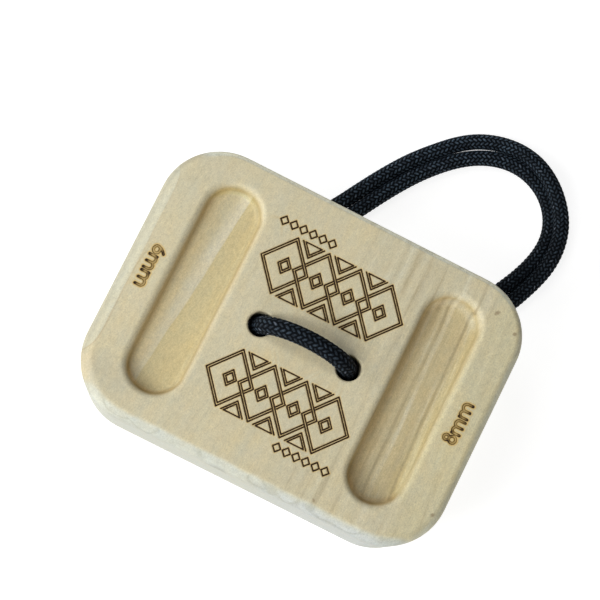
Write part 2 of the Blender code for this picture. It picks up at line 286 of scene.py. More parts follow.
def braid(name, path, radius, material, relief=0.42, pitch=PITCH, seed=0, worn=None):
    """A braided sheath as one closed mesh, whose edges follow the carriers. radius is a number or a function of length."""
    length = np.concatenate([[0], np.cumsum(np.linalg.norm(np.diff(path, axis=0), axis=1))])
    probe = np.linspace(0, length[-1], 4000)
    local = pitch(probe) if callable(pitch) else np.full(len(probe), pitch)
    rows = np.concatenate([[0], np.cumsum(np.diff(probe) * 2 * FINE / ((local[1:] + local[:-1]) / 2))])
    rings = int(rows[-1])
    rings -= rings % 2
    at = np.interp(np.linspace(0, rows[-1], rings + 1), rows, probe)
    centre = np.column_stack([np.interp(at, length, path[:, i]) for i in range(3)])
    _, normal, side = frames_along(centre)
    around = CARRIERS * FINE
    row = np.arange(rings + 1)[:, None]
    col = np.arange(around)[None, :]
    turn = (col + 0.5 * (row % 2)) / around  # in turns
    a_units = np.rint((turn * CARRIERS - row / (2 * FINE)) * FINE).astype(int)  # in steps of a carrier going one way
    b_units = np.rint((turn * CARRIERS + row / (2 * FINE)) * FINE).astype(int)  # and the other way

    def height(a, b, i, j):
        """Height over the valleys at steps (a, b), as seen from the crossing cell (i, j)."""
        over = (i + j) % 4 < 2
        start_b = np.where((i + j) % 4 == 0, j, j - 1)
        start_a = np.where((i + j) % 4 == 2, i, i - 1)
        across = np.where(over, a / FINE - i, b / FINE - j)
        along = np.where(over, (b / FINE - start_b) / 2, (a / FINE - start_a) / 2)
        ridge = np.sqrt(np.clip(1 - (2 * across - 1) ** 2, 0, 1))
        swell = np.clip(np.sin(np.pi * np.clip(along, 0, 1)), 0, 1) ** 0.7
        return ridge * swell, across, along, over

    i, j = a_units // FINE, b_units // FINE
    up, *_ = height(a_units, b_units, i, j)
    wide = radius(at) if callable(radius) else np.full(len(at), radius)
    out = wide[:, None] - relief * 0.72 + relief * up
    angle = 2 * np.pi * turn
    points = (
        centre[:, None, :]
        + normal[:, None, :] * (out * np.cos(angle))[..., None]
        + side[:, None, :] * (out * np.sin(angle))[..., None]
    ).reshape(-1, 3)

    # diamond faces between rows r, r + 1 and r + 2
    r = np.arange(rings - 1)[:, None]
    c = np.arange(around)[None, :]
    even = r % 2 == 0
    left = np.where(even, (c - 1) % around, c)
    right = np.where(even, c, (c + 1) % around)
    low = r * around + c + 0 * left
    quads = np.stack([low, (r + 1) * around + right, (r + 2) * around + c, (r + 1) * around + left], axis=-1).reshape(-1, 4)
    # the saw-tooth left at each end, and a cap
    ends = []
    for k in range(around):
        ends.append((k, (k + 1) % around, around + k))
        top = rings * around
        ends.append((top + k, top - around + k, top + (k + 1) % around))
    points = np.vstack([points, centre[:1], centre[-1:]])
    n = len(points)
    for k in range(around):
        ends.append((n - 2, (k + 1) % around, k))
        ends.append((n - 1, rings * around + k, rings * around + (k + 1) % around))

    mesh = bpy.data.meshes.new(name)
    n_quads, n_ends = len(quads), len(ends)
    mesh.vertices.add(len(points))
    mesh.vertices.foreach_set("co", (points * MM).astype(np.float32).ravel())
    mesh.loops.add(n_quads * 4 + n_ends * 3)
    corners = np.concatenate([quads.ravel(), np.array(ends).ravel()])
    mesh.loops.foreach_set("vertex_index", corners.astype(np.int32))
    mesh.polygons.add(n_quads + n_ends)
    starts = np.concatenate([np.arange(n_quads) * 4, n_quads * 4 + np.arange(n_ends) * 3])
    mesh.polygons.foreach_set("loop_start", starts.astype(np.int32))
    mesh.polygons.foreach_set("use_smooth", np.ones(n_quads + n_ends, bool))
    mesh.update(calc_edges=True)
    mesh.validate()

    # what each corner knows of its float: place across and along it, and a tone of its own
    qa = a_units.reshape(-1)[quads].astype(float)
    qb = b_units.reshape(-1)[quads].astype(float)
    # the seam where the turn starts again
    qa += np.where(qa - qa[:, :1] < -around / 2, around, 0) - np.where(qa - qa[:, :1] > around / 2, around, 0)
    qb += np.where(qb - qb[:, :1] < -around / 2, around, 0) - np.where(qb - qb[:, :1] > around / 2, around, 0)
    ci = np.floor(qa.mean(1) / FINE + 1e-6).astype(int)[:, None]
    cj = np.floor(qb.mean(1) / FINE + 1e-6).astype(int)[:, None]
    _, across, lengthwise, over = height(qa, qb, ci, cj)
    own = np.where(over, ci, cj + 57) % (CARRIERS * 9973)
    piece = np.where(over, np.where((ci + cj) % 4 == 0, cj, cj - 1), np.where((ci + cj) % 4 == 2, ci, ci - 1))
    tone = hashed(own % 1009, piece % 1013, seed) + 0 * across
    paler = worn(centre)[quads // around] if worn else 0 * across
    for label, values in (("across", across), ("lengthwise", lengthwise), ("tone", tone), ("worn", paler)):
        layer = mesh.attributes.new(label, "FLOAT", "CORNER")
        data = np.concatenate([values.ravel(), np.full(n_ends * 3, 0.5)]).astype(np.float32)
        layer.data.foreach_set("value", data)
    mesh.materials.append(material)
    return link(bpy.data.objects.new(name, mesh)), centre


def cord_material():
    n = Nodes("braided_cord")
    across, along, tone = n.attribute("across"), n.attribute("lengthwise"), n.attribute("tone")
    # how far a place is up the crown of its float
    side = n.math("SINE", n.math("MULTIPLY", across, math.pi))
    end = n.math("SINE", n.math("MULTIPLY", along, math.pi))
    crown = n.math("MULTIPLY", n.math("POWER", side, 0.8), n.math("POWER", n.math("MAXIMUM", end, 0.0), 0.6))
    # four parallel yarns in each carrier, each a twisted bundle
    yarn = n.math("ABSOLUTE", n.math("SINE", n.math("MULTIPLY", across, math.pi * 3)))
    fibre = n.noise(n.place(), 5200, 2, 0.6)
    fray = n.noise(n.place(), 2300, 2, 0.7)
    crown = n.math("ADD", crown, n.math("MULTIPLY", n.math("SUBTRACT", fray, 0.5), 0.55))
    slant = n.math("SINE", n.math("ADD", n.math("MULTIPLY", along, 34), n.math("MULTIPLY", across, 16)))
    height = n.math("ADD", n.math("MULTIPLY", yarn, 0.7), n.math("MULTIPLY", slant, 0.12))
    height = n.math("ADD", height, n.math("MULTIPLY", fibre, 0.5))
    base = n.mix(n.ramp(tone, 0.10, 0.90), (0.006, 0.010, 0.016), (0.026, 0.041, 0.058))
    base = n.mix(n.ramp(fibre, 0.46, 0.70), base, (0.060, 0.080, 0.102))
    # the loop has gone a little paler with use than the rest
    shade = n.math("MULTIPLY", n.ramp(fray, 0.36, 0.64, 0.60, 1.45), n.ramp(n.attribute("worn"), 0, 1, 1.0, 2.1))
    base = n.mix(1.0, base, shade, "MULTIPLY")
    # the crowns of the floats keep the lighter colour as a painted highlight, and the valleys go dark, partly their own
    # gaps and partly painted shade
    base = n.mix(n.ramp(crown, 0.36, 0.95), (0.0014, 0.0025, 0.0040), base)
    # a few floats carry a bright painted highlight of bare filament
    painted_glint = n.math("MULTIPLY", n.ramp(tone, 0.955, 0.965), n.ramp(crown, 0.72, 0.95))
    base = n.mix(n.math("MULTIPLY", painted_glint, n.ramp(fibre, 0.40, 0.60)), base, (0.20, 0.22, 0.27))
    n.put(n.shader.inputs["Base Color"], base)
    dry = n.ramp(crown, 0.45, 0.98, 0.45, 0.0)
    n.put(n.shader.inputs["Roughness"], n.math("ADD", n.ramp(fibre, 0.3, 0.7, 0.36, 0.60), dry, clamp=True))
    n.shader.inputs["Specular IOR Level"].default_value = 0.12
    n.shader.inputs["Sheen Weight"].default_value = 0.01
    n.shader.inputs["Sheen Roughness"].default_value = 0.5
    n.shader.inputs["Sheen Tint"].default_value = (0.75, 0.82, 1.0, 1)
    n.put(n.shader.inputs["Normal"], n.bump(height, 0.6, 0.00012))
    return n.material


def make_cord():
    material = cord_material()
    path = cord_path()
    length = np.concatenate([[0], np.cumsum(np.linalg.norm(np.diff(path, axis=0), axis=1))])
    fat_until = length[np.argmax(path[:, 2] < 0)]

    def radius(at):
        # the worn stitch on the front is a little fatter than the loop
        return 3.4 + 0.28 * np.clip((fat_until - at) / 14, 0, 1)

    def pitch(at):
        return 2.05 + 0.15 * np.clip((fat_until - at) / 14, 0, 1)

    def worn(at):
        return np.clip((at[:, 1] - 52) / 35, 0, 1) * np.clip((72 - at[:, 0]) / 40, 0, 1)

    cord, centre = braid("braided_cord", path, radius, material, pitch=pitch, worn=worn)
    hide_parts("cord_stitch", "cord_left_leg", "cord_right_leg", "cord_cross", "loop_strand_inner", "loop_strand_outer")
    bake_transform(cord)
    return cord, centre, length[-1], material


def make_knot(material):
    """Two pairs of wraps round the cord's own axis, wound the two ways."""
    turns, r = 2.2, 6.25
    paths = []
    pitch = (KNOT_HIGH - KNOT_LOW - 6.2) / 3.0
    for start, hand in ((KNOT_LOW + 3.1, 1), (KNOT_HIGH - 3.1, -1)):
        points = []
        for k in range(int(turns * 16) + 1):
            a = 2 * math.pi * k / 16
            rise = hand * pitch * 0.5 * k / 8
            ease = min(1.0, k / 5, (int(turns * 16) - k) / 5)
            radius = r * (0.35 + 0.65 * math.sin(ease * math.pi / 2))
            points.append((HOLES[1] + radius * math.cos(a), radius * math.sin(a), start + rise))
        paths.append(smooth_curve(points, 0.4))
    made = [braid(f"knot_wraps_{k}", p, 3.0, material, seed=5 + k)[0] for k, p in enumerate(paths)]
    bpy.ops.object.select_all(action="DESELECT")
    for o in made:
        o.select_set(True)
    bpy.context.view_layer.objects.active = made[0]
    bpy.ops.object.join()
    knot = made[0]
    knot.name = "cord_knot_wraps"
    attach(knot, "block")
    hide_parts("cord_knot")
    return knot


# --- floor and light -----------------------------------------------------------------------------------
def make_stage():
    n = Nodes("paper")
    n.shader.inputs["Base Color"].default_value = (0.40, 0.40, 0.40, 1)
    n.shader.inputs["Roughness"].default_value = 0.9
    n.shader.inputs["Specular IOR Level"].default_value = 0.1
    n.shader.inputs["Emission Color"].default_value = (1, 1, 1, 1)
    split = n.add("ShaderNodeSeparateXYZ")
    n.put(split.inputs[0], n.scaled(n.place(), (1000, 1000, 1000)))
    outside_x = n.math("SUBTRACT", n.math("ABSOLUTE", split.outputs[0]), LENGTH / 2)
    outside_y = n.math("SUBTRACT", n.math("ABSOLUTE", split.outputs[1]), WIDTH / 2)
    # painted contact shadow: the floor's glow dims under the block and close round it
    n.put(n.shader.inputs["Emission Strength"], n.ramp(n.math("MAXIMUM", outside_x, outside_y), -34, -10, 0.05, 0.84))
    z = FLOOR_Z
    floor = mesh_of("floor", [(-4000, -4000, z), (4000, -4000, z), (4000, 4000, z), (-4000, 4000, z)], [(0, 1, 2, 3)], [n.material])

    world = bpy.data.worlds.new("studio")
    bpy.context.scene.world = world
    world.use_nodes = True
    nodes, links = world.node_tree.nodes, world.node_tree.links
    dim = nodes["Background"]
    dim.inputs["Color"].default_value = (1.0, 1.0, 1.0, 1)
    dim.inputs["Strength"].default_value = 0.10
    # the paper behind looks as pale as the floor
    pale = nodes.new("ShaderNodeBackground")
    pale.inputs["Color"].default_value = (1.0, 1.0, 1.0, 1)
    pale.inputs["Strength"].default_value = 0.93
    mix = nodes.new("ShaderNodeMixShader")
    links.new(nodes.new("ShaderNodeLightPath").outputs["Is Camera Ray"], mix.inputs[0])
    links.new(dim.outputs[0], mix.inputs[1])
    links.new(pale.outputs[0], mix.inputs[2])
    links.new(mix.outputs[0], nodes["World Output"].inputs["Surface"])

    def lamp(name, azimuth, elevation, away, size, power, colour):
        """A round soft light, azimuth in degrees from +X towards +Y."""
        a, e = math.radians(azimuth), math.radians(elevation)
        data = bpy.data.lights.new(name, "AREA")
        data.shape = "DISK"
        data.size = size
        data.energy = power
        data.color = colour
        made = link(bpy.data.objects.new(name, data))
        made.location = (away * math.cos(e) * math.cos(a), away * math.cos(e) * math.sin(a), away * math.sin(e))
        made.rotation_mode = "QUATERNION"
        made.rotation_quaternion = (-made.location).to_track_quat("-Z", "Y")

    # one broad soft source on the near left side, from low down to high up, with a weaker one over the far side
    for k, (azimuth, elevation, power) in enumerate(((180, 22, 3.6), (205, 20, 3.1), (230, 40, 5.0), (232, 60, 2.7), (290, 22, 3.3), (140, 60, 2.4))):
        lamp(f"soft_{k}", azimuth, elevation, 1.2, 0.45, power, (1.0, 1.0, 1.0))


# --- the wood block ------------------------------------------------------------------------------------
class Shell:
    """Collects points, faces and point values of one welded mesh, in millimetres."""

    def __init__(self):
        self.points, self.faces = [], []
        self.values = {"hollow": {}, "burn": {}, "halo": {}}

    def add(self, points):
        start = len(self.points)
        self.points.extend(points)
        return list(range(start, len(self.points)))

    def band(self, a, b):
        """Quads between two closed rings of points."""
        n = len(a)
        self.faces += [(a[i], a[(i + 1) % n], b[(i + 1) % n], b[i]) for i in range(n)]

    def stack(self, outlines, heights):
        """Rings one after the other, with quads between; gives back the rings."""
        rings = [self.add([(x, y, z) for x, y in outline]) for outline, z in zip(outlines, heights)]
        for a, b in zip(rings[:-1], rings[1:]):
            self.band(a, b)
        return rings

    def fill(self, loops, z, inside, facing):
        """Triangles over the flat region at height z that is bounded by the loops; inside tells it by place."""
        used = [i for loop in loops for i in loop]
        flat = [Vector(self.points[i][:2]) for i in used]
        edges, start = [], 0
        for loop in loops:
            m = len(loop)
            edges += [(start + k, start + (k + 1) % m) for k in range(m)]
            start += m
        verts, _, tris, origin, _, _ = delaunay_2d_cdt(flat, edges, [], 0, 1e-6)
        known = []
        for at, came in zip(verts, origin):
            known.append(used[came[0]] if came else self.add([(at.x, at.y, z)])[0])
        corner = np.array([[verts[i].x, verts[i].y] for tri in tris for i in tri]).reshape(-1, 3, 2)
        keep = inside(corner.mean(1))
        turn = np.cross(corner[:, 1] - corner[:, 0], corner[:, 2] - corner[:, 0])
        for tri, k, t in zip(tris, keep, turn):
            if k and abs(t) > 1e-9:
                ids = [known[i] for i in tri]
                self.faces.append(tuple(ids if (t > 0) == (facing > 0) else ids[::-1]))


def rounded_outline(steps=20, long=14, short=9):
    """The block's outline with round corners and divided sides, counter-clockwise, with the way out from each point."""
    hx, hy, r = LENGTH / 2, WIDTH / 2, CORNER_R
    out, ways = [], []
    for sx, sy, start, parts in ((1, 1, 0, long), (-1, 1, 90, short), (-1, -1, 180, long), (1, -1, 270, short)):
        out += arc(sx * (hx - r), sy * (hy - r), r, start, start + 90, steps)
        ways += arc(0, 0, 1, start, start + 90, steps)
        x, y = out[-1]
        step = {0: (-2 * (hx - r), 0), 90: (0, -2 * (hy - r)), 180: (2 * (hx - r), 0), 270: (0, 2 * (hy - r))}[start]
        out += [(x + step[0] * k / parts, y + step[1] * k / parts) for k in range(1, parts)]
        ways += [ways[-1]] * (parts - 1)
    return np.array(out), np.array(ways)


def slot_outline(cx, steps=30, parts=14):
    """The finger edge's wall, counter-clockwise, with the way out from each point."""
    reach = EDGE_HALF_LENGTH - EDGE_HALF_WIDTH
    out, ways = [], []
    for sign, start in ((1, 0), (-1, 180)):
        ways += arc(0, 0, 1, start, start + 180, steps)
        out += arc(cx, EDGE_Y + sign * reach, EDGE_HALF_WIDTH, start, start + 180, steps)
        x, y = out[-1]
        out += [(x, y - sign * 2 * reach * k / parts) for k in range(1, parts)]
        ways += [ways[-1]] * (parts - 1)
    return np.array(out), np.array(ways)


def within(p, ring):
    """Which places lie inside a closed ring of points."""
    (x0, y0), (x1, y1) = ring.T[:, None, :], np.roll(ring, -1, axis=0).T[:, None, :]
    x, y = p[:, :1], p[:, 1:2]
    spans = (y0 > y) != (y1 > y)
    level = np.where(spans, y1 - y0, 1)
    return (spans & (x < x0 + (x1 - x0) * (y - y0) / level)).sum(1) % 2 == 1


def circle(cx, radius, steps=48):
    return [(cx + radius * math.cos(2 * math.pi * k / steps), radius * math.sin(2 * math.pi * k / steps)) for k in range(steps)]


# --- what is burnt into the front face -----------------------------------------------------------------
def diamond_band():
    """Four interlocked diamonds in double lines, with small diamonds inside and chevrons between: segments (x0, y0, x1, y1)."""
    half_w, half_h, apart, gap = 9.9, 11.9, 0.92, 0.55
    centres = [-21.3, -7.1, 7.1, 21.3]
    slope = half_h / half_w
    tall = math.hypot(1, slope)
    lines = []

    def corners(cx, grow):
        w, h = half_w + grow * tall / slope, half_h + grow * tall
        return [(cx + w, 0), (cx, h), (cx - w, 0), (cx, -h)]

    def off_edge(cx, p):
        """How far a point is outside the middle line of the diamond round cx."""
        return ((abs(p[0] - cx) - half_w) * slope + abs(p[1])) / tall

    def draw(a, b, hidden):
        """The stretches of the line from a to b that no other piece lies over."""
        a, b = np.array(a, float), np.array(b, float)
        n = 240
        shown = [not hidden(a + (b - a) * i / n) for i in range(n + 1)]
        start = None
        for i in range(n + 2):
            here = i <= n and shown[i]
            if here and start is None:
                start = i
            elif not here and start is not None:
                if i - 1 > start:
                    lines.append((*(a + (b - a) * start / n), *(a + (b - a) * (i - 1) / n)))
                start = None

    for k, cx in enumerate(centres):

        def under(p):
            for other, over_when_up in ((k - 1, False), (k + 1, True)):
                if 0 <= other < len(centres) and abs(off_edge(centres[other], p)) < apart / 2 + gap:
                    if (p[1] > 0) != over_when_up:
                        return True
            return False

        for grow in (-apart / 2, apart / 2):
            ring = corners(cx, grow)
            for q in range(4):
                draw(ring[q], ring[(q + 1) % 4], under)
    for cx in centres:
        for grow in (-5.35, -6.2):
            ring = corners(cx, grow)
            lines += [(*ring[q], *ring[(q + 1) % 4]) for q in range(4)]
    # chevrons over and under each crossing
    for cx in (-14.2, 0.0, 14.2):
        for sign in (1, -1):
            for grow in (2.3, 3.15):
                foot = off_edge(cx - 7.1, (cx, 0)) * tall
                low = (grow * tall) - foot
                reach = (half_h + apart / 2 * tall - low) / slope
                for side in (-1, 1):
                    lines.append((cx, sign * low, cx + side * reach, sign * (low + reach * slope)))
                lines.append((cx - reach, sign * (low + reach * slope), cx + reach, sign * (low + reach * slope))) if grow == 3.15 else None
    return lines


def small_row():
    """A short row of small diamonds over the band."""
    lines = []
    for k in range(6):
        cx, w, h = -29.4 + 4.3 * k, 1.75, 1.9
        ring = [(cx + w, 42.2), (cx, 42.2 + h), (cx - w, 42.2), (cx, 42.2 - h)]
        lines += [(*ring[q], *ring[(q + 1) % 4]) for q in range(4)]
    return lines


def stroke(points):
    return [(*a, *b) for a, b in zip(points[:-1], points[1:])]


def depth_label(digit):
    """Centre lines of a digit and the unit, reading along s with t upwards, as segments, and the strokes' darkest spots."""
    lines = []
    if digit == 6:
        lines += stroke(arc(0, 2.15, 1.5, 0, 360, 20))
        lines += stroke([(-1.38, 2.75), (-0.95, 3.9), (-0.2, 5.0), (0.75, 5.85)])
        spots = [(0.75, 5.85), (0.35, 5.6), (0.1, 5.3)]
        stems, high = ((2.8, 5.75, 8.6), (10.05, 13.1, 16.05)), 4.4
    else:
        lines += stroke(arc(0, 2.0, 1.42, 0, 360, 20)) + stroke(arc(0, 4.55, 1.12, 0, 360, 18))
        spots = [(-1.3, 3.4), (1.3, 3.4)]
        stems, high = ((2.7, 5.55, 8.3), (9.8, 12.7, 15.7)), 4.1
    top = high - 0.55
    for three in stems:
        lines += stroke([(three[0], 0.1), (three[0], top)])
        spots += [(at, 0.1) for at in three] + [(three[0], top)]
        for a, b in zip(three[:-1], three[1:]):
            r = (b - a) / 2
            lines += stroke([(x, y) for x, y in arc((a + b) / 2, top - r + 0.1, r, 180, 0, 10)] + [(b, 0.1)])
    return lines, spots


def near_segments(x, y, segments):
    """Distance from each place to the nearest segment, and to the nearest segment's end."""
    best = np.full(x.shape, 1e9)
    tip = np.full(x.shape, 1e9)
    for x0, y0, x1, y1 in segments:
        dx, dy = x1 - x0, y1 - y0
        t = np.clip(((x - x0) * dx + (y - y0) * dy) / (dx * dx + dy * dy + 1e-12), 0, 1)
        best = np.minimum(best, np.hypot(x - x0 - t * dx, y - y0 - t * dy))
        tip = np.minimum(tip, np.minimum(np.hypot(x - x0, y - y0), np.hypot(x - x1, y - y1)))
    return best, tip


def smoothstep(low, high, value):
    t = np.clip((value - low) / (high - low), 0, 1)
    return t * t * (3 - 2 * t)


def line_burn(x, y, segments, width=0.60):
    away, tip = near_segments(x, y, segments)
    cut = 1 - smoothstep(width / 2 - 0.10, width / 2 + 0.12, away)
    dwell = 0.86 + 0.14 * np.exp(-tip / 0.9)
    halo = np.exp(-np.maximum(away - width / 2, 0) / 0.34) * (0.62 + 0.8 * np.exp(-tip / 1.1))
    return cut * 0.26, cut * dwell, np.clip(halo, 0, 1) * (1 - smoothstep(0.75, 1.05, away)), away


def band_burn(x, y, drawn, width=1.08):
    """Outlined strokes: a dark line round a paler scorched inside, darkest at the strokes' ends."""
    segments, spots = drawn
    away, _ = near_segments(x, y, segments)
    spot = np.min([np.hypot(x - px, y - py) for px, py in spots], axis=0)
    ends = np.exp(-((spot / 0.85) ** 2))
    rim = np.exp(-(((away - width / 2 + 0.06) / 0.13) ** 2))
    inside = 1 - smoothstep(width / 2 - 0.08, width / 2 + 0.10, away)
    pale = np.exp(-((np.hypot(x - segments[0][0], y - segments[0][1]) / 2.6) ** 4))
    burn = np.clip((0.27 - 0.10 * pale + 0.5 * ends) * inside + (0.52 + 0.35 * ends) * rim, 0, 1)
    burn *= 1 - smoothstep(width / 2 + 0.05, width / 2 + 0.3, away)
    halo = 1.3 * np.exp(-np.maximum(away - width / 2, 0) / 0.9)
    edge = smoothstep(0, 0.35, 73.45 - np.abs(x))
    return inside * 0.2 + rim * 0.06, burn, np.clip(halo, 0, 1) * (1 - smoothstep(0.95, 1.5, away)) * edge, away


def engraved_window(shell, x0, x1, y0, y1, step, reach, burnt, chunk=3):
    """A fine grid close to the burnt lines. Gives back its boundary loops and a test for places in it."""
    nx, ny = int(round((x1 - x0) / step)), int(round((y1 - y0) / step))
    xs, ys = x0 + np.arange(nx + 1) * step, y0 + np.arange(ny + 1) * step
    gx, gy = np.meshgrid(xs, ys, indexing="ij")
    depth, burn, halo, away = burnt(gx, gy)
    cx, cy = nx // chunk, ny // chunk
    nearest = away[: cx * chunk, : cy * chunk].reshape(cx, chunk, cy, chunk).min(axis=(1, 3))
    coarse = nearest < reach
    # keep chunks that touch only at a corner from sharing it
    for _ in range(4):
        a, b, c, d = coarse[:-1, :-1], coarse[1:, :-1], coarse[:-1, 1:], coarse[1:, 1:]
        pinch = (a & d & ~b & ~c) | (b & c & ~a & ~d)
        if not pinch.any():
            break
        i, j = np.nonzero(pinch)
        coarse[i, j] = coarse[i + 1, j] = coarse[i, j + 1] = coarse[i + 1, j + 1] = True
    kept = np.zeros((nx, ny), bool)
    kept[: cx * chunk, : cy * chunk] = np.repeat(np.repeat(coarse, chunk, 0), chunk, 1)
    used = np.zeros((nx + 1, ny + 1), bool)
    for di in (0, 1):
        for dj in (0, 1):
            used[di : nx + di, dj : ny + dj] |= kept
    ids = np.full((nx + 1, ny + 1), -1)
    at = np.argwhere(used)
    first = shell.add([(xs[i], ys[j], HALF_T - depth[i, j]) for i, j in at])[0]
    ids[at[:, 0], at[:, 1]] = first + np.arange(len(at))
    for i, j in at:
        k = ids[i, j]
        shell.values["burn"][k] = burn[i, j]
        shell.values["halo"][k] = halo[i, j]
    for i, j in np.argwhere(kept):
        shell.faces.append((ids[i, j], ids[i + 1, j], ids[i + 1, j + 1], ids[i, j + 1]))
    # boundary: directed edges with the grid on their left
    follow = {}
    padded = np.pad(kept, 1)
    for i, j in np.argwhere(kept):
        if not padded[i + 1, j]:
            follow[(i, j)] = (i + 1, j)
        if not padded[i + 2, j + 1]:
            follow[(i + 1, j)] = (i + 1, j + 1)
        if not padded[i + 1, j + 2]:
            follow[(i + 1, j + 1)] = (i, j + 1)
        if not padded[i, j + 1]:
            follow[(i, j + 1)] = (i, j)
    loops = []
    while follow:
        start = next(iter(follow))
        loop, here = [], start
        while here in follow:
            loop.append(ids[here])
            here = follow.pop(here)
        loops.append(loop)

    def covers(p):
        i = np.floor((p[:, 0] - x0) / step).astype(int)
        j = np.floor((p[:, 1] - y0) / step).astype(int)
        ok = (i >= 0) & (i < nx) & (j >= 0) & (j < ny)
        out = np.zeros(len(p), bool)
        out[ok] = kept[i[ok], j[ok]]
        return out

    return loops, covers


def block_shell():
    shell = Shell()
    ease = 0.3
    # outside, from the back face round to the front face
    wall, way = rounded_outline()
    # the hand-sanded roundover is tightest along the far side and on the right
    edge_r = EDGE_R - 0.75 - 0.5 * way[:, 0] - np.where(way[:, 1] > 0, 2.1, 0.8) * way[:, 1]
    # and the far side is sanded back a little, more so towards the right
    wall[:, 1] -= np.maximum(way[:, 1], 0) * (1.2 + 0.3 * np.clip(wall[:, 0] / 50, -1, 1))
    turn = [(edge_r * (1 - math.sin(t)), HALF_T - edge_r * (1 - math.cos(t))) for t in np.radians(np.linspace(0, 90, 15))]
    turn = [(edge_r + 0.1, np.full(len(wall), HALF_T))] + turn + [(0 * edge_r, HALF_T - edge_r - ease)]
    profile = [(inset, -z) for inset, z in turn] + [(0 * edge_r, 0 * edge_r + z) for z in np.linspace(-16, 16, 5)] + turn[::-1]
    rings = [shell.add(np.column_stack([wall - way * inset[:, None], z]).tolist()) for inset, z in profile]
    for a, b in zip(rings[:-1], rings[1:]):
        shell.band(a, b)
    back, front = rings[0], rings[-1]

    # finger edges
    pockets = []
    for side in (-1, 1):
        floor, cove = HALF_T - EDGE_DEPTHS[side], COVE_R[side]
        wall, way = slot_outline(side * EDGE_X)
        # the sanded rim is a little wider on the far end and towards the block's short side
        rim_r = RIM_R + 0.35 * way[:, 1] + 0.3 * side * way[:, 0]
        profile = [(rim_r + ease, np.full(len(wall), HALF_T))]
        profile += [(rim_r * (1 + math.cos(t)), HALF_T - rim_r * (1 - math.sin(t))) for t in np.radians(np.linspace(90, 180, 11))]
        profile += [(np.full(len(wall), -cove * (1 - math.cos(t))), np.full(len(wall), floor + cove * (1 + math.sin(t)))) for t in np.radians(np.linspace(360, 270, 11))]
        profile += [(np.full(len(wall), -cove - ease), np.full(len(wall), floor))]
        rings = [shell.add(np.column_stack([wall + way * out[:, None], z]).tolist()) for out, z in profile]
        for a, b in zip(rings[:-1], rings[1:]):
            shell.band(a, b)
        for ring, (_, z) in zip(rings, profile):
            for i, h in zip(ring, smoothstep(HALF_T - 0.2, HALF_T - 3.2, z)):
                shell.values["hollow"][i] = float(h)
        bottom = rings[-1]
        before = len(shell.points)
        shell.fill([bottom], floor, lambda p: np.ones(len(p), bool), 1)
        for i in range(before, len(shell.points)):
            shell.values["hollow"][i] = 1.0
        pockets.append((wall + way * (rim_r + ease)[:, None], rings[0]))

    # cord holes with their counterbores
    top = -HALF_T + RECESS_DEPTH
    mouths, recesses = [], []
    for side in (-1, 1):
        mouth = arc(HOLE_R + MOUTH_R, HALF_T - MOUTH_R, MOUTH_R, 90, 180, 6)
        inner = arc(HOLE_R + MOUTH_R, top + MOUTH_R, MOUTH_R, 180, 270, 5)
        lip = arc(RECESS_R + LIP_R, -HALF_T + LIP_R, LIP_R, 180, 270, 7)
        profile = [(HOLE_R + MOUTH_R + ease, HALF_T)] + mouth + [(HOLE_R, z) for z in np.linspace(22, 12, 3)] + inner
        profile += [(RECESS_R - 0.25, top), (RECESS_R, top - 0.02), (RECESS_R, top - 0.3)]
        profile += [(RECESS_R, z) for z in np.linspace(2, -22, 5)] + lip + [(RECESS_R + LIP_R + ease, -HALF_T)]
        rings = shell.stack([circle(HOLES[side], radius) for radius, _ in profile], [z for _, z in profile])
        mouths.append((HOLES[side], HOLE_R + MOUTH_R + ease, rings[0]))
        recesses.append((HOLES[side], RECESS_R + LIP_R + ease, rings[-1]))

    # burnt lines
    band = [(a, b + 25.6, c, d + 25.6) for a, b, c, d in diamond_band()] + small_row()
    turned = [(0.6 - a, 0.8 - b, 0.6 - c, 0.8 - d) for a, b, c, d in band]
    lines, spots = depth_label(6)
    left = [(-71.95 + 0.89 * t0, 8.3 - s0, -71.95 + 0.89 * t1, 8.3 - s1) for s0, t0, s1, t1 in lines]
    left = left, [(-71.95 + 0.89 * t, 8.3 - s0) for s0, t in spots]
    lines, spots = depth_label(8)
    right = [(72.1 - t0, -7.1 + s0, 72.1 - t1, -7.1 + s1) for s0, t0, s1, t1 in lines]
    right = right, [(72.1 - t, -7.1 + s0) for s0, t in spots]
    windows = [
        engraved_window(shell, -33.6, 33.6, 11.4, 45.6, 0.2, 0.85, lambda x, y: line_burn(x, y, band)),
        engraved_window(shell, -33.6, 33.6, -45.6, -11.4, 0.2, 0.85, lambda x, y: line_burn(x, y, turned)),
        engraved_window(shell, -73.5, -64.05, -11.1, 12.9, 0.15, 1.3, lambda x, y: band_burn(x, y, left)),
        engraved_window(shell, 64.05, 73.5, -11.7, 12.3, 0.15, 1.3, lambda x, y: band_burn(x, y, right)),
    ]

    def edge(ring):
        return np.array([shell.points[i][:2] for i in ring])

    def on_front(p):
        out = within(p, edge(front))
        for ring, _ in pockets:
            out &= ~within(p, ring)
        for cx, radius, _ in mouths:
            out &= np.hypot(p[:, 0] - cx, p[:, 1]) > radius * math.cos(math.pi / 48) - 1e-3
        for _, covers in windows:
            out &= ~covers(p)
        return out

    loops = [front] + [ring for *_, ring in pockets + mouths] + [loop for w, _ in windows for loop in w]
    shell.fill(loops, HALF_T, on_front, 1)

    def on_back(p):
        out = within(p, edge(back))
        for cx, radius, _ in recesses:
            out &= np.hypot(p[:, 0] - cx, p[:, 1]) > radius * math.cos(math.pi / 48) - 1e-3
        return out

    shell.fill([back] + [ring for *_, ring in recesses], -HALF_T, on_back, -1)
    return shell


